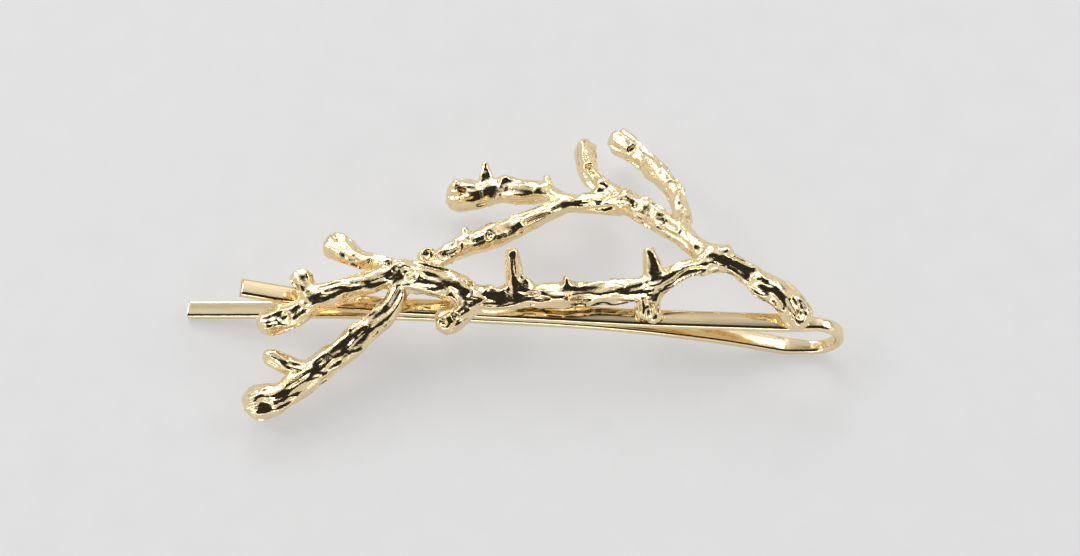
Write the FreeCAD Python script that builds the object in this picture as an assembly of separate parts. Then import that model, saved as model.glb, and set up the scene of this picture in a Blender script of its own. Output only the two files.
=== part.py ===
"""Branch hair clip: one flat spring wire folded into two legs, with a cast twig ornament soldered on top.

Millimetres. +X runs from the leg tips towards the bend, +Y across the wire, +Z up.
It is drawn with the wire's middle plane at y = 0, resting on z = 0 on its bend and on the lower leg's tip,
and is moved along X and Y at the end so that the origin is under the middle of the whole clip.
"""
import FreeCAD, Part
import os

Vector = FreeCAD.Vector

# --- driving dimensions -------------------------------------------------------------------------
WIRE_WIDTH = 2.0          # across the wire, along Y
WIRE_THICK = 0.95
WIRE_CORNER = 0.38        # radius of the wire's four long edges
BEND_HEIGHT = 6.9         # outside height of the U-bend
BEND_END_X = 32.6         # outermost point of the bend
BEND_FLAT_START_X = 27.2  # the bend's underside is flat from here to the start of its arc
SEAM_X = 25.4             # where each leg meets the spring bend
LOWER_TIP_X = -37.4       # overall length is BEND_END_X - LOWER_TIP_X = 70
UPPER_TIP_X = -31.4

# Height of the underside of each leg along its length: (x, z)
LOWER_UNDERSIDE = [(LOWER_TIP_X, 0.0), (-30.0, 1.1), (-22.0, 2.25), (-14.0, 2.9), (-7.0, 3.3), (0.0, 3.5),
                   (5.0, 3.5), (10.0, 3.2), (15.0, 2.6), (20.0, 1.75), (SEAM_X, 0.4)]
UPPER_UNDERSIDE = [(UPPER_TIP_X, 6.4), (-25.0, 4.85), (-19.0, 4.15), (-13.0, 4.05), (-7.0, 4.36), (0.0, 4.55),
                   (6.0, 4.65), (12.0, 4.85), (18.0, 5.25), (SEAM_X, 5.75)]

# --- the cast branch: each twig is a tapered rod through (x, y, z, radius) ----------------------
# The order matters: a twig is trimmed by the ones built before it, so no two share any space.
RIGHT_FOOT = [(27.0, 0.3, 8.0, 1.55), (25.4, 2.0, 8.4, 1.35), (23.5, 3.0, 9.0, 1.3), (20.5, 4.6, 9.6, 1.1),
              (18.0, 5.3, 9.7, 1.3)]
FRONT_ARCH = [(18.0, 5.3, 9.7, 1.15), (16.5, 4.4, 9.4, 1.05), (14.5, 3.8, 8.9, 1.0), (11.7, 2.5, 7.8, 1.35)]
MIDDLE_FOOT = [(11.7, 2.5, 7.8, 1.25), (11.5, 1.5, 7.1, 1.2), (11.5, 0.6, 6.6, 1.3)]
SPINE_RIGHT = [(11.7, 2.5, 7.8, 1.2), (8.0, 2.0, 7.4, 1.2), (5.0, 1.5, 7.2, 1.2), (2.5, 1.2, 7.2, 1.35)]
SPINE_LEFT = [(2.5, 1.2, 7.2, 1.25), (-0.6, 0.9, 7.1, 1.2), (-4.5, 0.4, 6.8, 1.25), (-7.0, 0.4, 6.7, 1.45)]
LOW_KNOB = [(-7.0, 0.4, 6.7, 1.3), (-8.2, -0.9, 6.2, 1.25), (-9.3, -1.8, 5.6, 1.35)]
NECK = [(-7.0, 0.4, 6.7, 1.3), (-9.5, 1.4, 7.1, 1.45), (-12.0, 1.9, 7.6, 1.5), (-14.5, 2.2, 7.8, 1.6)]
LOOP_LEFT = [(-9.5, 1.6, 7.3, 1.1), (-10.9, 3.2, 7.2, 0.95), (-11.2, 4.6, 7.0, 0.95), (-9.8, 5.7, 6.8, 1.0),
             (-8.2, 6.6, 6.6, 1.1), (-6.4, 7.5, 6.4, 1.3)]
LOOP_TOP = [(-6.4, 7.5, 6.4, 1.2), (-4.0, 8.9, 6.2, 1.15), (-1.0, 10.6, 6.2, 1.0), (1.7, 12.0, 6.2, 0.8),
            (4.4, 12.8, 6.3, 0.95)]
UPPER_LEFT_END = [(4.4, 12.8, 6.3, 0.8), (1.6, 13.4, 5.9, 0.9), (-1.5, 14.3, 5.2, 1.15),
                  (-4.5, 14.6, 4.5, 1.3), (-7.0, 14.6, 3.7, 1.45), (-9.2, 14.5, 3.1, 1.6)]
UP_TWIG = [(8.4, 12.9, 6.9, 0.95), (7.0, 13.9, 6.6, 1.0), (5.6, 15.4, 6.1, 1.0), (4.5, 17.8, 5.3, 0.95),
           (4.2, 20.4, 4.4, 1.05)]
RIGHT_BRANCH = [(4.4, 12.8, 6.3, 0.9), (6.8, 12.9, 6.7, 1.1), (9.0, 12.5, 7.2, 1.3),
                (11.0, 11.2, 7.6, 1.25), (14.5, 8.8, 8.5, 1.1), (16.2, 7.0, 9.3, 1.0),
                (18.0, 5.3, 9.7, 1.1)]
TOP_RIGHT = [(14.5, 8.9, 8.5, 0.95), (14.6, 12.0, 7.5, 0.9), (14.2, 14.1, 6.7, 0.95),
             (13.3, 16.0, 6.0, 1.0), (11.8, 18.1, 5.1, 1.05), (9.8, 20.6, 4.0, 1.15),
             (8.2, 22.4, 3.2, 1.45)]
LEFT_TWIG = [(-14.5, 2.3, 7.8, 1.15), (-17.2, 1.3, 7.8, 1.1), (-20.0, 0.2, 7.7, 1.15),
             (-23.5, -1.1, 7.7, 1.3)]
LEFT_UPPER_PRONG = [(-23.5, -1.1, 7.7, 1.1), (-24.3, -0.2, 8.0, 1.0), (-24.9, 0.7, 8.3, 1.05)]
LEFT_LOWER_PRONG = [(-23.5, -1.1, 7.7, 1.1), (-24.2, -2.2, 7.2, 1.1), (-25.6, -2.8, 6.5, 1.15),
                    (-27.9, -3.2, 5.6, 1.3)]
BACK_LEFT_TWIG = [(-14.5, 2.3, 7.8, 1.1), (-17.0, 3.4, 7.6, 0.95), (-19.5, 4.4, 7.0, 0.95),
                  (-21.8, 5.7, 6.4, 1.2)]
FRONT_LEFT_TWIG = [(-14.5, 2.3, 7.8, 1.1), (-14.8, 0.0, 7.4, 0.95), (-15.9, -2.2, 6.7, 1.1),
                   (-18.4, -4.3, 5.8, 1.3), (-21.0, -6.5, 4.7, 1.35), (-24.9, -9.4, 3.4, 1.45),
                   (-28.5, -11.2, 2.6, 1.8)]
FRONT_SIDE_TWIG = [(-22.4, -7.5, 4.2, 1.05), (-25.2, -7.5, 4.1, 0.95), (-27.5, -6.6, 4.3, 0.95)]

# Thorns and buds: a cone from a base (x, y, z, radius) to a tip (x, y, z, radius)
MIDDLE_THORN = [(12.1, 3.2, 8.1, 1.0), (11.2, 5.3, 10.3, 0.5)]
TALL_THORN = [(-2.5, 1.2, 7.4, 1.0), (-3.1, 4.3, 10.2, 0.6)]
SPINE_BUD = [(3.0, 1.6, 7.8, 0.75), (2.7, 2.5, 8.7, 0.4)]
LOOP_BUD = [(-7.9, 6.9, 6.8, 0.75), (-8.3, 8.1, 7.5, 0.4)]
CUP_BUD = [(-11.4, 4.0, 7.1, 0.85), (-12.1, 4.9, 7.0, 0.95)]
UPPER_THORN = [(-6.4, 14.9, 4.4, 0.8), (-6.7, 17.2, 5.6, 0.3)]
SMALL_THORN = [(0.2, 14.2, 5.8, 0.6), (0.1, 15.6, 6.4, 0.3)]

# Solder at each place the branch meets the wire: (x, y, radius, height above the wire's top face)
RIGHT_SOLDER = (26.4, 0.0, 2.3, 0.8)
MIDDLE_SOLDER = (12.4, 0.0, 2.0, 0.9)
LEFT_SOLDER = (-7.6, 0.0, 2.1, 0.9)
SOLDER_MAX_Y = 0.85       # solder stays on the wire's flat top
SOLDER_SINK = 0.3         # the dome reaches this far below the top face before the wire trims it

MEASURE_STEP = 0.01       # how finely the clip is measured to find its middle
BALL_SWELL = 1.08         # a twig's end ball is this much fatter than the rod it closes


def spline(points):
    """A smooth curve through the points."""
    curve = Part.BSplineCurve()
    curve.interpolate([Vector(*p) for p in points])
    return curve


def wire_section(centre, tangent):
    """The wire's rounded flat section, square to the tangent, with its width along Y."""
    across = Vector(0, 1, 0)
    up = tangent.cross(across) * -1.0
    if up.z < 0 and abs(up.z) > abs(up.x):
        up = up * -1.0
    half_w, half_t, r = WIRE_WIDTH / 2.0, WIRE_THICK / 2.0, WIRE_CORNER

    def at(a, b):
        return centre + across * a + up * b

    k = r * (1.0 - 2.0 ** -0.5)
    corners = [(1, 1), (-1, 1), (-1, -1), (1, -1)]
    edges = []
    last = None
    for n, (sa, sb) in enumerate(corners):
        flat = (half_w - r, half_t) if n % 2 == 0 else (half_w, half_t - r)
        start = at(sa * half_w, sb * (half_t - r)) if n % 2 == 0 else at(sa * (half_w - r), sb * half_t)
        end = at(sa * (half_w - r), sb * half_t) if n % 2 == 0 else at(sa * half_w, sb * (half_t - r))
        mid = at(sa * (half_w - k), sb * (half_t - k))
        if last is not None:
            edges.append(Part.LineSegment(last, start).toShape())
        edges.append(Part.Arc(start, mid, end).toShape())
        last = end
    first = at(half_w, half_t - r)
    edges.append(Part.LineSegment(last, first).toShape())
    return Part.Wire(edges)


def sweep(path, section):
    """Sweep a section along a path that lies in a plane y = constant."""
    maker = Part.BRepOffsetAPI.MakePipeShell(path)
    maker.setBiNormalMode(Vector(0, 1, 0))
    maker.add(section)
    maker.build()
    maker.makeSolid()
    return maker.shape()


def underside_to_centre(points):
    """Raise a leg's underside curve by half the wire's thickness, square to the curve."""
    curve = spline([(x, 0.0, z) for x, z in points])
    centre = []
    for x, z in points:
        t = curve.tangent(curve.parameter(Vector(x, 0, z)))[0]
        centre.append(Vector(x, 0, z) + Vector(-t.z, 0, t.x) * (WIRE_THICK / 2.0))
    return centre


def leg(points, end_tangent):
    """A leg from its tip to its seam, meeting the bend along end_tangent."""
    centre = underside_to_centre(points)
    curve = Part.BSplineCurve()
    first = (centre[1] - centre[0]).normalize()
    curve.interpolate(Points=centre, InitialTangent=first, FinalTangent=end_tangent)
    edge = curve.toShape()
    start = curve.tangent(curve.FirstParameter)[0]
    return sweep(Part.Wire([edge]), wire_section(centre[0], start)), centre[-1]


def spring_bend(lower_seam, upper_seam, lower_tangent, upper_tangent):
    """The U-bend: a short run of each leg and the arc that joins them."""
    half = WIRE_THICK / 2.0
    radius = BEND_HEIGHT / 2.0 - half
    arc_x = BEND_END_X - BEND_HEIGHT / 2.0
    low = Vector(arc_x, 0, half)
    flat = Vector(BEND_FLAT_START_X, 0, half)
    high = Vector(arc_x, 0, BEND_HEIGHT - half)
    middle = Vector(arc_x + radius, 0, BEND_HEIGHT / 2.0)
    run_in, run_out = Part.BSplineCurve(), Part.BSplineCurve()
    run_in.interpolate(Points=[lower_seam, flat], InitialTangent=lower_tangent, FinalTangent=Vector(1, 0, 0))
    run_out.interpolate(Points=[high, upper_seam], InitialTangent=Vector(-1, 0, 0),
                        FinalTangent=upper_tangent * -1.0)
    edges = [run_in.toShape(), Part.LineSegment(flat, low).toShape(), Part.Arc(low, middle, high).toShape(),
             run_out.toShape()]
    return sweep(Part.Wire(edges), wire_section(lower_seam, lower_tangent))


def twig(points, balls):
    """A tapered rod through the points. balls holds 0 for a ball at its start and -1 for one at its end."""
    centres = [Vector(*p[:3]) for p in points]
    radii = [p[3] for p in points]
    curve = Part.BSplineCurve()
    curve.interpolate(centres)
    sections = []
    for centre, radius in zip(centres, radii):
        direction = curve.tangent(curve.parameter(centre))[0]
        ring = Part.Circle(centre, direction, radius)
        ring.XAxis = direction.cross(Vector(0, 0, 1)).normalize()
        sections.append(Part.Wire([ring.toShape()]))
    body = Part.makeLoft(sections, True, False)
    for end in balls:
        direction = curve.tangent(curve.parameter(centres[end]))[0]
        body = body.fuse(Part.makeSphere(radii[end] * BALL_SWELL, centres[end], direction))
    return body


def thorn(points):
    """A cone with a small ball for its tip."""
    (bx, by, bz, base_r), (tx, ty, tz, tip_r) = points
    base, tip = Vector(bx, by, bz), Vector(tx, ty, tz)
    cone = Part.makeCone(base_r, tip_r, (tip - base).Length, base, tip - base)
    return cone.fuse(Part.makeSphere(tip_r * BALL_SWELL, tip, tip - base))


def solder(spec, wire_top):
    """A low dome of solder on the wire's top face: the cap of a ball, cut off at the face's edges."""
    x, y, radius, height = spec
    ball_radius = (radius ** 2 + height ** 2) / (2.0 * height)
    ball = Part.makeSphere(ball_radius, Vector(x, y, wire_top + height - ball_radius))
    keep = Part.makeBox(2 * radius, 2 * SOLDER_MAX_Y, 2 * height,
                        Vector(x - radius, -SOLDER_MAX_Y, wire_top - SOLDER_SINK))
    return ball.common(keep)


def trimmed(shape, others):
    """The shape less everything in others, as its largest single solid."""
    for other in others:
        if shape.BoundBox.intersect(other.BoundBox):
            shape = shape.cut(other)
    solids = sorted(shape.Solids, key=lambda s: s.Volume)
    return solids[-1]


def upper_top(x):
    """Height of the upper leg's top face at x, between the two nearest stated heights."""
    for (x0, z0), (x1, z1) in zip(UPPER_UNDERSIDE, UPPER_UNDERSIDE[1:]):
        if x0 <= x <= x1:
            return z0 + (z1 - z0) * (x - x0) / (x1 - x0) + WIRE_THICK
    return BEND_HEIGHT


def seam_tangent(points):
    """Direction of a leg at its seam."""
    curve = spline([(x, 0.0, z) for x, z in points])
    return curve.tangent(curve.LastParameter)[0]


lower_tangent = seam_tangent(LOWER_UNDERSIDE)
upper_tangent = seam_tangent(UPPER_UNDERSIDE)
lower_leg, lower_seam = leg(LOWER_UNDERSIDE, lower_tangent)
upper_leg, upper_seam = leg(UPPER_UNDERSIDE, upper_tangent)
nodes = {
    "upper_leg": upper_leg,
    "spring_bend": spring_bend(lower_seam, upper_seam, lower_tangent, upper_tangent),
    "lower_leg": lower_leg,
}

TWIGS = [
    ("right_foot_twig", RIGHT_FOOT), ("front_arch", FRONT_ARCH), ("middle_foot", MIDDLE_FOOT),
    ("spine_right", SPINE_RIGHT), ("spine_left", SPINE_LEFT), ("neck", NECK), ("low_knob", LOW_KNOB),
    ("loop_left", LOOP_LEFT), ("loop_top", LOOP_TOP), ("right_branch", RIGHT_BRANCH),
    ("upper_left_twig", UPPER_LEFT_END), ("up_twig", UP_TWIG), ("top_right_twig", TOP_RIGHT),
    ("left_twig", LEFT_TWIG), ("left_upper_prong", LEFT_UPPER_PRONG), ("left_lower_prong", LEFT_LOWER_PRONG),
    ("back_left_twig", BACK_LEFT_TWIG), ("front_left_twig", FRONT_LEFT_TWIG), ("front_side_twig", FRONT_SIDE_TWIG),
]
# A twig that starts or ends inside an earlier twig's ball needs none of its own there.
BALLS = {"right_foot_twig": (0, -1), "right_branch": ()}
THORNS = [
    ("middle_thorn", MIDDLE_THORN), ("tall_thorn", TALL_THORN), ("spine_bud", SPINE_BUD), ("loop_bud", LOOP_BUD),
    ("cup_bud", CUP_BUD), ("upper_thorn", UPPER_THORN), ("small_thorn", SMALL_THORN),
]
SOLDERS = [("right_solder", RIGHT_SOLDER), ("middle_solder", MIDDLE_SOLDER), ("left_solder", LEFT_SOLDER)]

for name, points in TWIGS:
    nodes[name] = trimmed(twig(points, BALLS.get(name, (-1,))), list(nodes.values()))
for name, points in THORNS:
    nodes[name] = trimmed(thorn(points), list(nodes.values()))
for name, spec in SOLDERS:
    nodes[name] = trimmed(solder(spec, upper_top(spec[0])), list(nodes.values()))

whole = Part.makeCompound(list(nodes.values()))
whole.tessellate(MEASURE_STEP)
extent = whole.optimalBoundingBox(True, False)
to_middle = Vector(-extent.Center.x, -extent.Center.y, 0)

os.makedirs("parts", exist_ok=True)
for name, shape in nodes.items():
    shape.translate(to_middle)
    if not shape.isValid() or len(shape.Solids) != 1:
        raise ValueError(name + " is not one valid solid")
    shape.exportStep("parts/" + name + ".step")
    box = shape.BoundBox
    print("%-18s %8.2f mm3  x %6.1f..%5.1f  y %6.1f..%5.1f  z %5.2f..%5.2f"
          % (name, shape.Volume, box.XMin, box.XMax, box.YMin, box.YMax, box.ZMin, box.ZMax))
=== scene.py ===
import math
import bpy
import numpy as np
from mathutils import Matrix, Vector


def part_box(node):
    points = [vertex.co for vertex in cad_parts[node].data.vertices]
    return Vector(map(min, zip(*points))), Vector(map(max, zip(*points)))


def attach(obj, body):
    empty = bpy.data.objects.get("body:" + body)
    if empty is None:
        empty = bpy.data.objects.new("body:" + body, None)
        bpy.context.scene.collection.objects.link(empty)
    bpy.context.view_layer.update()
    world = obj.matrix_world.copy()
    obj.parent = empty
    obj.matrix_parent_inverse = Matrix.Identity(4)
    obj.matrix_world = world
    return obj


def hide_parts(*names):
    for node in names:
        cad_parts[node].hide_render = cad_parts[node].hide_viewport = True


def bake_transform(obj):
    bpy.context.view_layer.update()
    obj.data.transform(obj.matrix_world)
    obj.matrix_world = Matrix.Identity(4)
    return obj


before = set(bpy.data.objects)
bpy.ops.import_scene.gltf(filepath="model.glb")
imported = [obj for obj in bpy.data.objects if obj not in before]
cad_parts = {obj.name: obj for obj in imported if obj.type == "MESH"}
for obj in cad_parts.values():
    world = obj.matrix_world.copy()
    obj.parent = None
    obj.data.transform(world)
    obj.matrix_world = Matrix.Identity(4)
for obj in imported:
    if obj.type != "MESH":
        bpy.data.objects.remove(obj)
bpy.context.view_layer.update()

# ---------------------------------------------------------------- where things are
# Everything below is in millimetres in the wire's own frame: +X towards the bend, +Z up, and the
# wire's middle plane at y = 0. row() moves a point to the row frame, in metres.
MM = 0.001
BEND_END_X = 32.6
BEND_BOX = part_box("spring_bend")
LEG_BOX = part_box("upper_leg")
SHIFT = np.array([BEND_END_X - BEND_BOX[1].x / MM, -(LEG_BOX[0].y + LEG_BOX[1].y) / 2 / MM, 0.0])


def row(points):
    """Points in the wire's frame, in mm, as row-frame metres."""
    return (np.asarray(points, float) - SHIFT) * MM


# ---------------------------------------------------------------- the branch's skeleton
# Each twig is (name, [(x, y, z, radius), ...]), in mm.
TWIGS = [
    ("right_foot", [(27, 0.3, 8, 1.55), (26.1, 1.4, 8.3, 1.4), (24.6, 2.5, 8.7, 1.25), (23.2, 3, 9, 1.3),
                    (21.8, 3.9, 9.4, 1.1), (20.1, 4.8, 9.6, 1), (18, 5.3, 9.7, 1.25)]),
    ("front_arch", [(18, 5.3, 9.7, 1.2), (16.5, 4.4, 9.4, 1.05), (14.5, 3.8, 8.9, 0.95),
                    (13.2, 3.1, 8.4, 1), (11.7, 2.5, 7.8, 1.3)]),
    ("middle_foot", [(11.7, 2.5, 7.8, 1.25), (11.5, 1.6, 7.2, 1.25), (11.5, 1.1, 6.9, 1.15),
                     (11.5, 0.6, 6.6, 1.3)]),
    ("spine", [(11.7, 2.5, 7.8, 1.25), (10.0, 2.2, 7.6, 1.1), (8.1, 2.0, 7.4, 1.2), (6.0, 1.7, 7.3, 1.1),
               (4.2, 1.4, 7.2, 1.2), (2.5, 1.2, 7.2, 1.35), (0.8, 1.1, 7.1, 1.2), (-0.8, 0.9, 7.1, 1.1),
               (-2.6, 0.8, 6.9, 1.35), (-4.8, 0.4, 6.8, 1.2), (-6.8, 0.4, 6.7, 1.4)]),
    ("low_knob", [(-6.8, 0.4, 6.7, 1.3), (-8.0, -1.0, 6.2, 1.2), (-9.3, -1.8, 5.6, 1.4)]),
    ("neck", [(-6.8, 0.4, 6.7, 1.25), (-8.3, 1.1, 7, 1.45), (-10, 1.6, 7.2, 1.5), (-11.9, 1.8, 7.6, 1.5),
              (-14.5, 2.1, 7.8, 1.55)]),
    ("loop_left", [(-12.8, 2.7, 7.4, 1.1), (-11.7, 3.6, 7.2, 0.9), (-10.9, 4.4, 7, 0.85),
                   (-9.9, 5.4, 6.8, 0.95), (-8.3, 6.5, 6.6, 1.1), (-6.4, 7.5, 6.4, 1.2)]),
    ("loop_top", [(-6.4, 7.5, 6.4, 1.15), (-5, 8.3, 6.3, 1.2), (-3.9, 8.9, 6.2, 1.05),
                  (-2.4, 9.8, 6.2, 1.1), (-0.8, 10.7, 6.2, 0.95), (0.7, 11.6, 6.2, 0.9),
                  (2.3, 12.5, 6.2, 0.75), (4.4, 12.7, 6.3, 0.8), (6.6, 12.6, 6.6, 0.95)]),
    ("upper_left", [(3, 12.8, 6.2, 0.75), (1.6, 13.4, 5.9, 0.85), (0, 14.2, 5.5, 1.1),
                    (-1.5, 14.3, 5.2, 1.2), (-3.1, 14.5, 4.9, 1.3), (-4.5, 14.6, 4.5, 1.25),
                    (-6, 14.6, 4, 1.35), (-7.6, 14.5, 3.5, 1.5), (-9.2, 14.5, 3.1, 1.6)]),
    ("up_twig", [(9.2, 12.9, 6.9, 0.9), (7.2, 13.9, 6.6, 1), (5.8, 15.2, 6.2, 1), (4.8, 16.8, 5.6, 0.95),
                 (4.3, 18.6, 5, 0.95), (4.2, 20.4, 4.4, 1.05)]),
    ("right_branch", [(4.4, 12.8, 6.3, 0.85), (6.6, 12.8, 6.6, 1.1), (9, 12.5, 7.2, 1.25),
                      (10.8, 11.3, 7.6, 1.25), (12.6, 10.2, 8, 1.2), (14.5, 8.7, 8.5, 1.05),
                      (16, 7, 9.2, 0.9), (18, 5.3, 9.7, 1.1)]),
    ("top_right", [(14.8, 9.2, 8.6, 0.9), (14.8, 10.8, 8, 0.85), (14.6, 12.3, 7.4, 0.85),
                   (14.2, 14.1, 6.7, 0.95), (13.3, 15.9, 6, 0.95), (12, 17.9, 5.2, 1.05),
                   (10.7, 19.4, 4.5, 1), (9.5, 21, 3.9, 1.15), (8.1, 22.4, 3.2, 1.4)]),
    ("left_twig", [(-14.5, 2.2, 7.8, 1.2), (-16.0, 1.8, 7.8, 1.05), (-17.6, 1.1, 7.8, 1.15),
                   (-19.9, 0.2, 7.7, 1.1), (-22.1, -0.7, 7.6, 1.25), (-23.5, -1.2, 7.7, 1.3)]),
    ("left_upper_prong", [(-23.5, -1.2, 7.7, 1.1), (-24.3, -0.2, 8, 0.95), (-24.9, 0.7, 8.3, 1.05)]),
    ("left_lower_prong", [(-23.5, -1.2, 7.7, 1.1), (-24.1, -2, 7.2, 1.05), (-25.3, -2.7, 6.6, 1.15),
                          (-26.6, -2.9, 6, 1.25), (-27.9, -3.2, 5.6, 1.3)]),
    ("back_left", [(-14.6, 2.6, 7.8, 1.1), (-17.0, 3.3, 7.6, 1.0), (-18.4, 3.8, 7.3, 0.9),
                   (-20.0, 4.6, 6.9, 1.05), (-21.8, 5.7, 6.4, 1.25)]),
    ("front_left", [(-14.5, 2, 7.7, 1.2), (-14.6, 0.7, 7.5, 0.9), (-15.2, -0.9, 7.1, 0.9),
                    (-16.2, -2.3, 6.6, 1.1), (-17.4, -3.3, 6.2, 1.2), (-18.8, -4.6, 5.7, 1.3),
                    (-20.4, -6, 5, 1.3), (-22.2, -7.3, 4.2, 1.4), (-24, -8.7, 3.7, 1.35),
                    (-25.6, -9.9, 3.2, 1.4), (-26.9, -10.6, 2.9, 1.6), (-28.3, -11.1, 2.6, 1.8)]),
    ("front_side", [(-22.2, -7.6, 4.2, 1.05), (-24, -7.9, 4, 0.95), (-25.4, -7.4, 4.1, 0.9),
                    (-27.5, -6.6, 4.3, 0.95)]),
    ("middle_thorn", [(12.2, 3.1, 8, 1.15), (11.7, 4.3, 9.3, 0.95), (11.2, 5.2, 10.2, 0.66)]),
    ("tall_thorn", [(-2.4, 1.2, 7.3, 1.1), (-2.7, 2.8, 8.8, 0.85), (-3.1, 4.2, 10.1, 0.7)]),
    ("spine_bud", [(3, 1.6, 7.8, 0.8), (2.7, 2.4, 8.6, 0.4)]),
    ("loop_bud", [(-7.9, 6.9, 6.8, 0.8), (-8.3, 8, 7.4, 0.4)]),
    ("cup_bud", [(-11.5, 4, 7.1, 0.85), (-12.1, 4.8, 7, 1)]),
    ("upper_thorn", [(-6.4, 14.9, 4.4, 0.95), (-6.6, 16.2, 5.1, 0.65), (-6.7, 17.1, 5.6, 0.35)]),
    ("small_thorn", [(0.2, 14.2, 5.7, 0.7), (0.1, 15.5, 6.3, 0.35)]),
]
# Extra lumps on the bark: (x, y, z, radius)
KNOTS = [
    (-1.6, 1.6, 7.9, 0.85), (-9.4, 14.9, 4.1, 0.9), (-14.2, 1.2, 8.8, 0.65), (14.8, 10.2, 8.0, 0.7),
    (-12.9, 1.6, 8.3, 0.9),
    (-16.3, 1.9, 8.3, 0.7), (22.8, 3.1, 9.9, 0.8), (8.6, 13.4, 7.9, 0.6), (-8.6, 6.2, 7.2, 0.9),
    (-5.4, 1.0, 7.5, 0.7), (-4.4, 15.3, 5.2, 0.9), (12.2, 17.2, 5.9, 0.8), (-19.0, -4.0, 6.6, 0.7),
    (19.2, 6.0, 10.2, 0.8), (-2.6, 9.6, 7.0, 0.6), (6.0, 14.6, 7.2, 0.6), (10.6, 12.2, 8.4, 0.55),
    (24.2, 3.0, 9.6, 0.6), (4.9, 18.2, 5.8, 0.5), (-21.4, 6.2, 6.9, 0.6), (11.9, 0.9, 7.9, 0.6),
]
# Shallow cups pressed into knob ends and the bark: (x, y, z, radius)
CUPS = [
    (-12.1, 4.6, 8.1, 0.75), (-27.6, -12.4, 4.7, 1.2), (-11.2, 14.6, 3.6, 0.85), (4.1, 21.9, 4.6, 0.6),
    (7.2, 24.0, 3.8, 0.8), (-23.0, 6.5, 6.4, 0.5), (-25.7, 1.7, 8.7, 0.5), (-26.3, -3.6, 7.6, 0.8),
    (-14.6, 0.9, 10.5, 2.0), (27.3, -0.5, 9.4, 0.65), (11.8, 0.1, 8.1, 0.5), (-28.0, 0.2, 8.0, 0.5),
    (9.6, 11.6, 8.6, 0.5),
]
# Small pits near the main fork and along the branch: (x, y, z, radius)
PITS = [
    (-15.9, 2.9, 8.9, 0.4), (-17.9, 3.2, 8.4, 0.35), (-8.6, -1.9, 7.1, 0.5), (-9.9, -2.6, 6.7, 0.45),
    (6.6, 13.2, 7.9, 0.5), (12.9, 9.7, 9.1, 0.45), (-5.8, 7.5, 7.6, 0.5), (-9.1, 14.4, 4.7, 0.45),
    (4.5, 17.0, 6.5, 0.4), (9.2, 20.6, 5.1, 0.45), (13.5, 15.4, 6.9, 0.35), (-7.2, 1.3, 8.0, 0.35),
]

STEP = 0.13          # grid spacing of the branch's field, mm
MARGIN = 1.2                                  # space around each twig that its field covers, mm
FAR = 9.0                                     # field value well away from everything, mm
MELT = 0.45                                   # how softly two twigs run into each other, mm
KNOT_MELT, CUP_MELT, PIT_MELT = 0.5, 0.25, 0.2   # the same for the knots, cups and pits, mm
LINE_SPACING = 0.5                            # spacing of the samples along a twig, mm
FIELD_EDGE = 1.0                              # space round the whole branch, mm
BARK_REACH = 0.7                              # bark is worked out only this near the surface, mm
LUMP, RIDGE, CREASE = 0.16, 0.19, 0.07        # depths of the bark's broad, middle and fine relief, mm
RIDGE_SHARPNESS = 2.4
THORN_BARK = 0.5                              # thorns and buds have half the relief of a twig
BALL_ROUGH, BALL_ROUGH_WAVE, BALL_SEED = 0.3, 0.7, 55    # uneven outline of knots, cups and pits, mm
SURFACE_RELIEF = [(1.1, 0.06, 901, False), (0.55, 0.03, 902, True)]  # wavelength, depth, seed, sharp
RELAX_IN, RELAX_OUT = 0.5, -0.52              # each smoothing step and the step that undoes its shrinking


def noise3(p, seed):
    """Smooth value noise in -1..1 at points p of shape (n, 3), unit wavelength."""
    base = np.floor(p).astype(np.int64)
    f = p - base
    f = f * f * (3 - 2 * f)
    total = np.zeros(len(p))
    for corner in range(8):
        o = np.array([corner & 1, corner >> 1 & 1, corner >> 2 & 1])
        q = base + o
        h = (q[:, 0] * 374761393 + q[:, 1] * 668265263 + q[:, 2] * 2147483647
             + seed * 1274126177) & 0xFFFFFFFF
        h = ((h ^ (h >> 13)) * 1274126177) & 0xFFFFFFFF
        value = ((h ^ (h >> 16)) & 0xFFFF) / 32767.5 - 1
        w = np.prod(np.where(o, f, 1 - f), axis=1)
        total += w * value
    return total


def fine_line(points, spacing):
    """Catmull-Rom samples through the points, about spacing apart. A fourth column is a radius."""
    p = np.asarray(points, float)
    ext = np.vstack([2 * p[0] - p[1], p, 2 * p[-1] - p[-2]])
    out = []
    for i in range(1, len(ext) - 2):
        a, b, c, d = ext[i - 1:i + 3]
        n = max(2, int(np.linalg.norm(c[:3] - b[:3]) / spacing))
        t = np.arange(n)[:, None] / n
        out.append(0.5 * (2 * b + (c - a) * t + (2 * a - 5 * b + 4 * c - d) * t ** 2
                          + (3 * b - a - 3 * c + d) * t ** 3))
    out.append(p[-1:])
    return np.vstack(out)


def smooth_min(a, b, k):
    """The smaller of a and b, blended where they differ by less than k."""
    h = np.clip(0.5 + 0.5 * (b - a) / k, 0, 1)
    return b + (a - b) * h - k * h * (1 - h)


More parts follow.
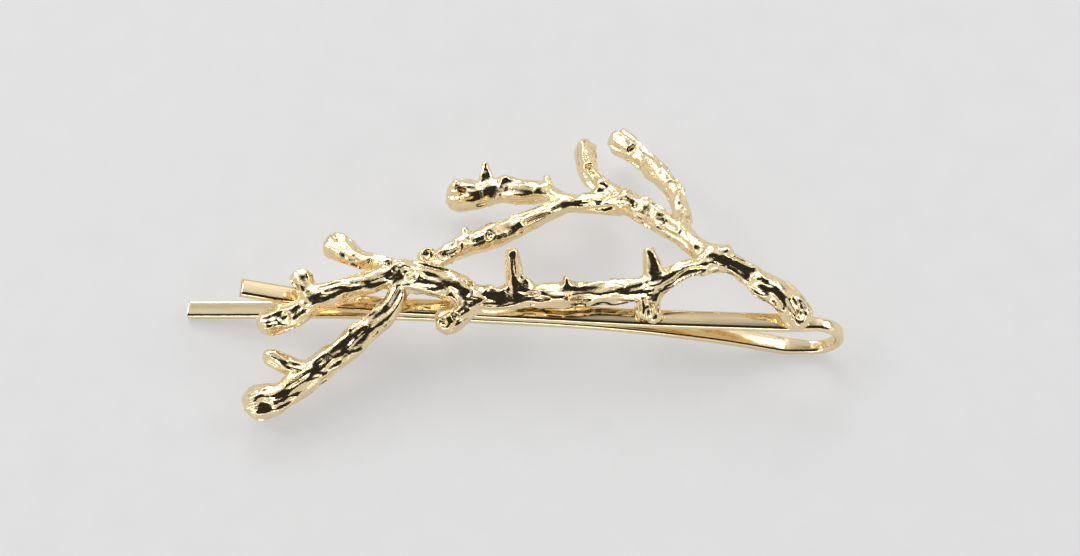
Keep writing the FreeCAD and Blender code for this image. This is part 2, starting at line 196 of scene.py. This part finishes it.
class Field:
    """A signed distance field on a regular grid, in mm."""

    def __init__(self, low, high, step):
        self.low, self.step = np.asarray(low, float), step
        self.shape = tuple(np.ceil((np.asarray(high) - low) / step).astype(int) + 1)
        self.values = np.full(self.shape, FAR, np.float32)

    def window(self, low, high):
        """The part of the grid between two corners, as slices and as points."""
        a = np.maximum(np.floor((low - self.low) / self.step).astype(int), 0)
        b = np.minimum(np.ceil((high - self.low) / self.step).astype(int) + 1, self.shape)
        cut = tuple(slice(i, j) for i, j in zip(a, b))
        axes = [self.low[k] + self.step * np.arange(a[k], b[k]) for k in range(3)]
        return cut, np.stack(np.meshgrid(*axes, indexing="ij"), -1)

    def rod(self, line, seed, bark):
        """A swept ball along line with bark relief, as its own window of the grid."""
        low = (line[:, :3] - line[:, 3:]).min(0) - MARGIN
        high = (line[:, :3] + line[:, 3:]).max(0) + MARGIN
        cut, grid = self.window(low, high)
        field = np.full(grid.shape[:3], FAR, np.float32)
        run = 0.0
        up = np.array([0.0, 0.0, 1.0])
        for a, b in zip(line, line[1:]):
            seg = b[:3] - a[:3]
            length = np.linalg.norm(seg)
            axis = seg / length
            side = np.cross(axis, up)
            side /= np.linalg.norm(side)
            rise = np.cross(side, axis)
            reach = max(a[3], b[3]) + MARGIN
            lo = np.minimum(a[:3], b[:3]) - reach
            hi = np.maximum(a[:3], b[:3]) + reach
            corner = grid[0, 0, 0]
            inner = tuple(slice(max(0, int((lo[k] - corner[k]) / self.step)),
                                max(0, int((hi[k] - corner[k]) / self.step) + 2)) for k in range(3))
            q = grid[inner] - a[:3]
            along = q @ axis
            t = np.clip(along / length, 0, 1)
            rest = q - t[..., None] * seg
            dist = np.linalg.norm(rest, axis=-1)
            d = dist - (a[3] + (b[3] - a[3]) * t)
            near = np.abs(d) < BARK_REACH
            if bark > 0 and near.any():
                u, v = q[near] @ side, q[near] @ rise
                s = run + along[near]
                lump = noise3(np.stack([u / 0.9 + 0.4, v / 0.9 + 0.6, s / 2.0], -1), seed + 40)
                ridge = noise3(np.stack([u / 0.6 + 0.3, v / 0.6 + 0.7, s / 2.6], -1), seed)
                crease = noise3(np.stack([u / 0.36, v / 0.36, s / 1.3], -1), seed + 80)
                d[near] -= bark * (LUMP * lump + RIDGE * (1 - RIDGE_SHARPNESS * np.abs(ridge))
                                   + CREASE * crease)
            field[inner] = np.minimum(field[inner], d)
            run += length
        self.values[cut] = smooth_min(self.values[cut], field, MELT)

    def ball(self, centre, radius, melt, add=True):
        """Melts a rough ball into the shape, or hollows one out of it."""
        centre = np.asarray(centre, float)
        cut, grid = self.window(centre - radius - MARGIN, centre + radius + MARGIN)
        rough = noise3(grid.reshape(-1, 3) / BALL_ROUGH_WAVE, BALL_SEED).reshape(grid.shape[:3])
        d = (np.linalg.norm(grid - centre, axis=-1) - radius + BALL_ROUGH * rough).astype(np.float32)
        if add:
            self.values[cut] = smooth_min(self.values[cut], d, melt)
        else:
            self.values[cut] = -smooth_min(-self.values[cut], d, melt)

    def relief(self, wavelength, depth, seed, sharp=False):
        """Adds noise to the surface; sharp noise has creases."""
        near = np.abs(self.values) < 3 * depth + self.step * 2
        p = np.argwhere(near) * self.step / wavelength
        n = noise3(p, seed)
        if sharp:
            n = 1 - 2 * np.abs(n)
        self.values[near] -= depth * n

    def surface(self):
        """Vertices and quads of the zero level, by surface nets."""
        f = self.values
        inside = f < 0
        nx, ny, nz = self.shape
        cells = np.zeros((nx - 1, ny - 1, nz - 1), np.int8)
        total = np.zeros(cells.shape + (3,), np.float32)
        count = np.zeros(cells.shape, np.int16)
        edges = []
        for axis in range(3):
            lo = [slice(None)] * 3
            hi = [slice(None)] * 3
            lo[axis], hi[axis] = slice(0, -1), slice(1, None)
            a, b = f[tuple(lo)], f[tuple(hi)]
            cross = (a < 0) != (b < 0)
            idx = np.argwhere(cross)
            t = a[cross] / (a[cross] - b[cross])
            point = idx.astype(np.float32)
            point[:, axis] += t
            others = [k for k in range(3) if k != axis]
            for da in (0, 1):
                for db in (0, 1):
                    c = idx.copy()
                    c[:, others[0]] -= da
                    c[:, others[1]] -= db
                    ok = np.all((c >= 0) & (c < np.array(cells.shape)), axis=1)
                    np.add.at(total, tuple(c[ok].T), point[ok])
                    np.add.at(count, tuple(c[ok].T), 1)
            edges.append((axis, others, idx, a[cross] < 0))
        used = count > 0
        number = np.full(cells.shape, -1, np.int64)
        number[used] = np.arange(used.sum())
        verts = total[used] / count[used][:, None] * self.step + self.low
        quads = []
        for axis, (p, q), idx, first_in in edges:
            corner = []
            for dp, dq in ((0, 0), (1, 0), (1, 1), (0, 1)):
                c = idx.copy()
                c[:, p] -= dp
                c[:, q] -= dq
                corner.append(number[tuple(c.T)])
            quad = np.stack(corner, 1)
            flip = first_in if axis != 1 else ~first_in
            quad[~flip] = quad[~flip][:, ::-1]
            quads.append(quad)
        return verts, np.vstack(quads)


def relax(verts, quads, rounds=2):
    """Evens out a mesh without shrinking it."""
    a = quads.ravel()
    b = np.roll(quads, -1, axis=1).ravel()
    ends = np.concatenate([a, b])
    other = np.concatenate([b, a])
    degree = np.bincount(ends, minlength=len(verts))[:, None]
    for step in range(rounds * 2):
        mean = np.stack([np.bincount(ends, verts[other, k], len(verts)) for k in range(3)], 1) / degree
        verts = verts + (RELAX_IN if step % 2 == 0 else RELAX_OUT) * (mean - verts)
    return verts


def largest_piece(verts, quads):
    """Drops loose crumbs: keeps the connected part with the most vertices."""
    label = np.arange(len(verts))
    while True:
        low = label[quads].min(1)
        new = label.copy()
        for k in range(4):
            np.minimum.at(new, quads[:, k], low)
        new = new[new]
        if (new == label).all():
            break
        label = new
    big = np.bincount(label).argmax()
    keep = label == big
    index = np.cumsum(keep) - 1
    quads = quads[keep[quads].all(1)]
    return verts[keep], index[quads]


def new_mesh(name, verts, faces):
    """A mesh object from wire-frame mm."""
    mesh = bpy.data.meshes.new(name)
    mesh.from_pydata(row(verts).tolist(), [], [list(map(int, f)) for f in faces])
    mesh.validate()
    mesh.update()
    mesh.polygons.foreach_set("use_smooth", [True] * len(mesh.polygons))
    obj = bpy.data.objects.new(name, mesh)
    bpy.context.scene.collection.objects.link(obj)
    return obj


def build_branch():
    """The casting as one skin: twigs, knots, cups, pits and fine relief in one field."""
    lines = [fine_line(points, LINE_SPACING) for _, points in TWIGS]
    everything = np.vstack(lines)
    low = (everything[:, :3] - everything[:, 3:]).min(0) - FIELD_EDGE
    high = (everything[:, :3] + everything[:, 3:]).max(0) + FIELD_EDGE
    field = Field(low, high, STEP)
    for n, ((name, _), line) in enumerate(zip(TWIGS, lines)):
        field.rod(line, 7 + 3 * n, THORN_BARK if "thorn" in name or "bud" in name else 1.0)
    for balls, melt, add in ((KNOTS, KNOT_MELT, True), (CUPS, CUP_MELT, False), (PITS, PIT_MELT, False)):
        for x, y, z, r in balls:
            field.ball((x, y, z), r, melt, add)
    for relief in SURFACE_RELIEF:
        field.relief(*relief)
    verts, quads = largest_piece(*field.surface())
    return new_mesh("branch_casting", relax(verts, quads), quads)


# ---------------------------------------------------------------- the wire
WIRE_WIDTH, WIRE_THICK, WIRE_CORNER = 2.0, 0.95, 0.38
BEND_HEIGHT = 6.9
BEND_FLAT_START_X = 27.2
SEAM_X = 25.4
BEND_NARROW, BEND_ROUNDING = 0.76, 0.3       # the wire draws in and rounds off where it was bent
LEG_SPACING = 0.25                            # spacing of the samples along a leg, mm
# Height of each leg's underside along its length: (x, z)
LOWER_UNDERSIDE = [(-37.4, 0.0), (-30.0, 1.1), (-22.0, 2.25), (-14.0, 2.9), (-7.0, 3.3), (0.0, 3.5),
                   (5.0, 3.5), (10.0, 3.2), (15.0, 2.6), (20.0, 1.75), (SEAM_X, 0.4)]
UPPER_UNDERSIDE = [(-31.4, 6.4), (-25.0, 4.85), (-19.0, 4.15), (-13.0, 4.05), (-7.0, 4.36), (0.0, 4.55),
                   (6.0, 4.65), (12.0, 4.85), (18.0, 5.25), (SEAM_X, 5.75)]


def section(narrow=1.0):
    """The wire's rounded outline as (across, up) pairs, anticlockwise. A narrower one is rounder too."""
    w, t = WIRE_WIDTH / 2 * narrow, WIRE_THICK / 2
    r = WIRE_CORNER + (1 - narrow) * BEND_ROUNDING
    out = []
    corners = ((w - r, t - r, 0), (-w + r, t - r, 90), (-w + r, -t + r, 180), (w - r, -t + r, 270))
    for cx, cy, start in corners:
        for k in range(6):
            a = math.radians(start + 18 * k)
            out.append((cx + r * math.cos(a), cy + r * math.sin(a)))
    return np.array(out)


def swept(name, centre, normals, capped, narrow=None):
    """The wire's section carried along centre points in the plane y = 0, closed at its start if capped."""
    narrow = np.ones(len(centre)) if narrow is None else narrow
    n = len(section())
    verts = []
    for c, up, width in zip(centre, normals, narrow):
        for a, b in section(width):
            verts.append((c[0] + up[0] * b, a, c[1] + up[1] * b))
    faces = []
    for i in range(len(centre) - 1):
        for k in range(n):
            m = (k + 1) % n
            faces.append((i * n + k, i * n + m, (i + 1) * n + m, (i + 1) * n + k))
    if capped:
        faces.append(tuple(range(n)))
    return new_mesh(name, np.array(verts), faces)


def normals_of(line):
    """Unit normals of a plane curve, to the left of its direction."""
    d = np.gradient(line, axis=0)
    d /= np.linalg.norm(d, axis=1)[:, None]
    return np.stack([-d[:, 1], d[:, 0]], 1)


def build_wire():
    """Both legs and the bend; neighbours share the same outline at each seam."""
    low = fine_line(LOWER_UNDERSIDE, LEG_SPACING)
    low_n = normals_of(low)
    low_c = low + low_n * WIRE_THICK / 2
    up = fine_line(UPPER_UNDERSIDE, LEG_SPACING)
    up_n = normals_of(up)
    up_c = up + up_n * WIRE_THICK / 2
    arc_x, radius = BEND_END_X - BEND_HEIGHT / 2, (BEND_HEIGHT - WIRE_THICK) / 2
    mid_z = BEND_HEIGHT / 2
    run_in = bezier(low_c[-1], low_n[-1], (BEND_FLAT_START_X, WIRE_THICK / 2), (0.0, 1.0))
    arc = [(arc_x + radius * math.sin(a), mid_z - radius * math.cos(a))
           for a in np.linspace(0, math.pi, 40)]
    run_out = bezier((arc_x, BEND_HEIGHT - WIRE_THICK / 2), (0.0, -1.0), up_c[-1], -up_n[-1])
    bend = np.vstack([run_in, arc, run_out[1:]])
    bend_n = normals_of(bend)
    bend_n[0], bend_n[-1] = low_n[-1], -up_n[-1]
    upper = swept("upper_leg_wire", up_c, up_n, True)
    lower = swept("lower_leg_wire", low_c, low_n, True)
    turn = np.clip((bend[:, 0] - SEAM_X) / (arc_x + 1.0 - SEAM_X), 0, 1)
    narrow = 1 - (1 - BEND_NARROW) * turn * turn * (3 - 2 * turn)
    curved = swept("bend_wire", bend, bend_n, False, narrow)
    return upper, lower, curved


def bezier(start, start_up, end, end_up, count=10):
    """A short smooth run between two points with given normals."""
    start, end = np.asarray(start, float), np.asarray(end, float)
    reach = np.linalg.norm(end - start) / 3
    a = start + reach * np.array([start_up[1], -start_up[0]])
    b = end - reach * np.array([end_up[1], -end_up[0]])
    t = np.linspace(0, 1, count)[:, None]
    return (1 - t) ** 3 * start + 3 * (1 - t) ** 2 * t * a + 3 * (1 - t) * t ** 2 * b + t ** 3 * end


def upper_top(x):
    """Height of the upper leg's top face at x."""
    line = fine_line(UPPER_UNDERSIDE, LEG_SPACING)
    return float(np.interp(x, line[:, 0], line[:, 1])) + WIRE_THICK


SOLDER_STEP, SOLDER_SPREAD = 0.1, 1.3         # grid spacing and half length of a bead, mm
SOLDER_EDGE = 0.06                            # the solder stops this far inside the wire's edges, mm
SOLDERS = [("right_solder", 26.9, 0.62, 11), ("middle_solder", 12.2, 0.8, 12),
           ("left_solder", -8.0, 0.7, 13)]    # (node, x, height, seed)


def build_solder(name, x, height, seed):
    """A small frozen puddle round a foot, kept on the wire's top face."""
    top, spread = upper_top(x), SOLDER_SPREAD
    field = Field((x - spread - 1, -1.6, top - 1.2), (x + spread + 1, 1.6, top + height + 1.2), SOLDER_STEP)
    line = np.array([(x - spread * 0.45, 0, top - 0.2, height * 0.8), (x, 0, top + 0.05, height),
                     (x + spread * 0.5, 0, top - 0.2, height * 0.7)])
    field.rod(fine_line(line, 0.3), seed, 0.0)
    field.relief(0.9, 0.08, seed)
    verts, quads = field.surface()
    reach = WIRE_WIDTH / 2
    verts[:, 1] = np.clip(verts[:, 1], -reach + SOLDER_EDGE, reach - SOLDER_EDGE)
    return new_mesh(name, relax(verts, quads), quads)


# ---------------------------------------------------------------- materials
DENT_DEPTH = 0.00012                          # metres


def gold(name, color, rough, rough_spread, bump, scale, streaks=False):
    """Polished gold with slight changes of tint and roughness; streaks run along the wire."""
    mat = bpy.data.materials.new(name)
    mat.use_nodes = True
    nodes, links = mat.node_tree.nodes, mat.node_tree.links
    shader = nodes["Principled BSDF"]
    shader.inputs["Metallic"].default_value = 1.0
    place = nodes.new("ShaderNodeTexCoord")
    mapping = nodes.new("ShaderNodeMapping")
    mapping.inputs["Scale"].default_value = (0.04, 1.0, 1.0) if streaks else (1.0, 1.0, 1.0)
    links.new(place.outputs["Object"], mapping.inputs["Vector"])
    broad = nodes.new("ShaderNodeTexNoise")
    broad.inputs["Scale"].default_value = scale
    broad.inputs["Detail"].default_value = 4.0
    fine = nodes.new("ShaderNodeTexNoise")
    fine.inputs["Scale"].default_value = scale * 6
    fine.inputs["Detail"].default_value = 5.0
    for n in (broad, fine):
        links.new(mapping.outputs["Vector"], n.inputs["Vector"])
    tint = nodes.new("ShaderNodeValToRGB")
    tint.color_ramp.elements[0].position, tint.color_ramp.elements[1].position = 0.3, 0.75
    tint.color_ramp.elements[0].color = (*[c * 0.93 for c in color], 1)
    tint.color_ramp.elements[1].color = (*[min(1.0, c * 1.03) for c in color], 1)
    links.new(broad.outputs["Fac"], tint.inputs["Fac"])
    links.new(tint.outputs["Color"], shader.inputs["Base Color"])
    spread = nodes.new("ShaderNodeMapRange")
    spread.inputs["To Min"].default_value = rough
    spread.inputs["To Max"].default_value = rough + rough_spread
    links.new(fine.outputs["Fac"], spread.inputs["Value"])
    links.new(spread.outputs["Result"], shader.inputs["Roughness"])
    dents = nodes.new("ShaderNodeBump")
    dents.inputs["Strength"].default_value = bump
    dents.inputs["Distance"].default_value = DENT_DEPTH
    links.new(fine.outputs["Fac"], dents.inputs["Height"])
    links.new(dents.outputs["Normal"], shader.inputs["Normal"])
    return mat


def floor_material():
    """A pale matt floor that glows a little, which keeps the shadows on it light."""
    mat = bpy.data.materials.new("pale_floor")
    mat.use_nodes = True
    nodes, links = mat.node_tree.nodes, mat.node_tree.links
    shader = nodes["Principled BSDF"]
    shader.inputs["Roughness"].default_value = 0.85
    shader.inputs["Emission Color"].default_value = (0.78, 0.775, 0.775, 1)
    shader.inputs["Emission Strength"].default_value = 0.56
    noise = nodes.new("ShaderNodeTexNoise")
    noise.inputs["Scale"].default_value = 900
    ramp = nodes.new("ShaderNodeValToRGB")
    ramp.color_ramp.elements[0].color = (0.31, 0.31, 0.315, 1)
    ramp.color_ramp.elements[1].color = (0.35, 0.35, 0.355, 1)
    links.new(noise.outputs["Fac"], ramp.inputs["Fac"])
    links.new(ramp.outputs["Color"], shader.inputs["Base Color"])
    return mat


def card_material():
    """Near-black felt for the card that gives the gold its dark reflections."""
    mat = bpy.data.materials.new("black_felt")
    mat.use_nodes = True
    shader = mat.node_tree.nodes["Principled BSDF"]
    shader.inputs["Base Color"].default_value = (0.02, 0.019, 0.018, 1)
    shader.inputs["Roughness"].default_value = 1.0
    return mat


BRANCH_GOLD = gold("branch_gold", (0.91, 0.735, 0.45), 0.05, 0.10, 0.25, 900)
WIRE_GOLD = gold("wire_gold", (0.91, 0.745, 0.47), 0.07, 0.10, 0.08, 700, streaks=True)
SOLDER_GOLD = gold("solder_gold", (0.91, 0.72, 0.42), 0.06, 0.12, 0.2, 1100)

branch = build_branch()
upper, lower, bend = build_wire()
solders = [build_solder(node + "_bead", x, height, seed) for node, x, height, seed in SOLDERS]
SOLDER_NODES = [node for node, *_ in SOLDERS]
WIRE_NODES = ["upper_leg", "spring_bend", "lower_leg"]
TWIG_NODES = [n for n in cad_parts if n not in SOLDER_NODES + WIRE_NODES]

for obj, mat, slot_name, nodes_shown in (
        [(branch, BRANCH_GOLD, "branch_gold", TWIG_NODES), (upper, WIRE_GOLD, "wire_gold", ["upper_leg"]),
         (lower, WIRE_GOLD, "wire_gold", ["lower_leg"]), (bend, WIRE_GOLD, "wire_gold", ["spring_bend"])]
        + [(s, SOLDER_GOLD, "solder_gold", [n]) for s, n in zip(solders, SOLDER_NODES)]):
    obj.data.materials.append(mat)
    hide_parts(*nodes_shown)
for name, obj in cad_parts.items():
    obj.data.materials.clear()
    obj.data.materials.append(WIRE_GOLD if name in WIRE_NODES
                              else SOLDER_GOLD if name in SOLDER_NODES else BRANCH_GOLD)

for obj in [branch, upper] + solders:
    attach(obj, "upper")
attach(lower, "lower")
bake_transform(bend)

# ---------------------------------------------------------------- stage
AIM = row([(0.0, 6.57, 0.0)])[0]              # where the camera's axis meets the table
VIEW_DOWN, VIEW_ROLL = 64.0, 3.46             # degrees
VIEW_DISTANCE, VIEW_LENS = 0.2325, 71.0       # metres, mm on a 36 mm sensor

LIGHT_DISTANCE = 0.9                          # metres from AIM


def staged_plane(name, size, material):
    """A flat square that belongs to the stage and not to the clip."""
    bpy.ops.mesh.primitive_plane_add(size=size, location=(0, 0, 0))
    plane = bpy.context.object
    plane.name = name
    plane.data.materials.append(material)
    return plane


def soft_light(name, azimuth, elevation, size, power):
    """A rectangular light facing AIM; azimuth 0 is +X and 90 is +Y."""
    data = bpy.data.lights.new(name, "AREA")
    data.shape = "RECTANGLE"
    data.size, data.size_y = size
    data.energy = power
    obj = bpy.data.objects.new(name, data)
    az, el = math.radians(azimuth), math.radians(elevation)
    spot = Vector((math.cos(az) * math.cos(el), math.sin(az) * math.cos(el), math.sin(el)))
    spot *= LIGHT_DISTANCE
    obj.location = Vector(AIM) + spot
    obj.rotation_euler = spot.to_track_quat("Z", "Y").to_euler()
    bpy.context.scene.collection.objects.link(obj)


staged_plane("floor", 4.0, floor_material())
soft_light("back_window", 104, 37, (0.5, 0.3), 2.4)
soft_light("left_back_window", 165, 40, (0.36, 0.36), 1.9)
soft_light("right_back_window", 22, 38, (0.36, 0.36), 1.5)
soft_light("front_strip", 258, 11, (0.8, 0.12), 1.4)

world = bpy.data.worlds.new("studio")
world.use_nodes = True
nodes, links = world.node_tree.nodes, world.node_tree.links
sky = nodes["Background"]
sky.inputs["Color"].default_value = (1.0, 0.99, 0.965, 1)
way = nodes.new("ShaderNodeTexCoord")
clouds = nodes.new("ShaderNodeTexNoise")          # a room is never evenly bright
clouds.inputs["Scale"].default_value = 2.2
clouds.inputs["Detail"].default_value = 1.0
level = nodes.new("ShaderNodeMapRange")
level.inputs["From Min"].default_value, level.inputs["From Max"].default_value = 0.36, 0.64
level.inputs["To Min"].default_value, level.inputs["To Max"].default_value = 0.2, 1.2
links.new(way.outputs["Generated"], clouds.inputs["Vector"])
links.new(clouds.outputs["Fac"], level.inputs["Value"])
height = nodes.new("ShaderNodeSeparateXYZ")
fade = nodes.new("ShaderNodeMapRange")           # plain and even near the horizon
fade.inputs["From Min"].default_value, fade.inputs["From Max"].default_value = 0.10, 0.28
mix = nodes.new("ShaderNodeMix")
mix.inputs["A"].default_value = 0.72
links.new(way.outputs["Generated"], height.inputs["Vector"])
links.new(height.outputs["Z"], fade.inputs["Value"])
links.new(fade.outputs["Result"], mix.inputs["Factor"])
links.new(level.outputs["Result"], mix.inputs["B"])
links.new(mix.outputs["Result"], sky.inputs["Strength"])
bpy.context.scene.world = world
bpy.context.scene.view_settings.view_transform = "Standard"

card = staged_plane("black_card", 1.5, card_material())
card.scale = (1.25, 1.0, 1.0)
card_way = Vector((0.12, -0.46, 0.88)).normalized()    # the card hangs 1 m from AIM, above the front
card.location = Vector(AIM) + card_way
card.rotation_euler = card_way.to_track_quat("Z", "Y").to_euler()

camera_data = bpy.data.cameras.new("camera")
camera_data.sensor_width, camera_data.lens = 36.0, VIEW_LENS
camera_data.clip_start = 0.01
camera = bpy.data.objects.new("camera", camera_data)
tilt = (Matrix.Rotation(math.radians(90 - VIEW_DOWN), 4, "X")
        @ Matrix.Rotation(math.radians(VIEW_ROLL), 4, "Z"))
back = tilt.to_3x3() @ Vector((0, 0, VIEW_DISTANCE))
camera.matrix_world = Matrix.Translation(Vector(AIM) + back) @ tilt
bpy.context.scene.collection.objects.link(camera)
bpy.context.scene.camera = camera
